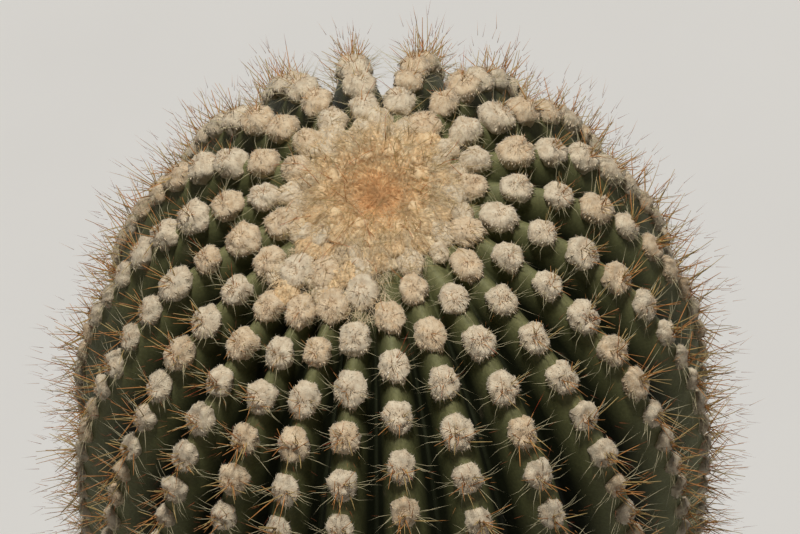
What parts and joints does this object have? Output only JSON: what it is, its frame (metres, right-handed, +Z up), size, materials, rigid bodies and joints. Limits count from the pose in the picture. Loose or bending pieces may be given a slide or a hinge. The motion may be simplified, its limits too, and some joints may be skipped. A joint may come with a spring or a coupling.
{
  "type": "saguaro cactus",
  "caption": "Young upright saguaro stem with deep ribs, rows of woolly spine pads along the crests and a felted crown, rooted on a flat cut at ground level.",
  "frame": {"origin": "middle of the flat cut under the stem, at ground level", "axes": "+Z up the stem, -Y towards the side seen in the picture, +X to the right as seen there"},
  "size_m": [0.3773, 0.3709, 1.0225],
  "materials": {
    "skin": "matte waxy olive-green skin, darker in the grooves, corky brown at the foot",
    "wool": "matte cream wool with an orange-tan felt middle",
    "areole_felt": "matte cream felt with amber and straw-coloured spines"
  },
  "bodies": {
    "root": {"stem": "skin", "crown_wool": "wool", "areole_row_01": "areole_felt", "areole_row_02": "areole_felt", "areole_row_03": "areole_felt", "areole_row_04": "areole_felt", "areole_row_05": "areole_felt", "areole_row_06": "areole_felt", "areole_row_07": "areole_felt", "areole_row_08": "areole_felt", "areole_row_09": "areole_felt", "areole_row_10": "areole_felt", "areole_row_11": "areole_felt", "areole_row_12": "areole_felt", "areole_row_13": "areole_felt", "areole_row_14": "areole_felt", "areole_row_15": "areole_felt", "areole_row_16": "areole_felt", "areole_row_17": "areole_felt", "areole_row_18": "areole_felt", "areole_row_19": "areole_felt", "areole_row_20": "areole_felt", "areole_row_21": "areole_felt", "areole_row_22": "areole_felt"}
  },
  "joints": []
}
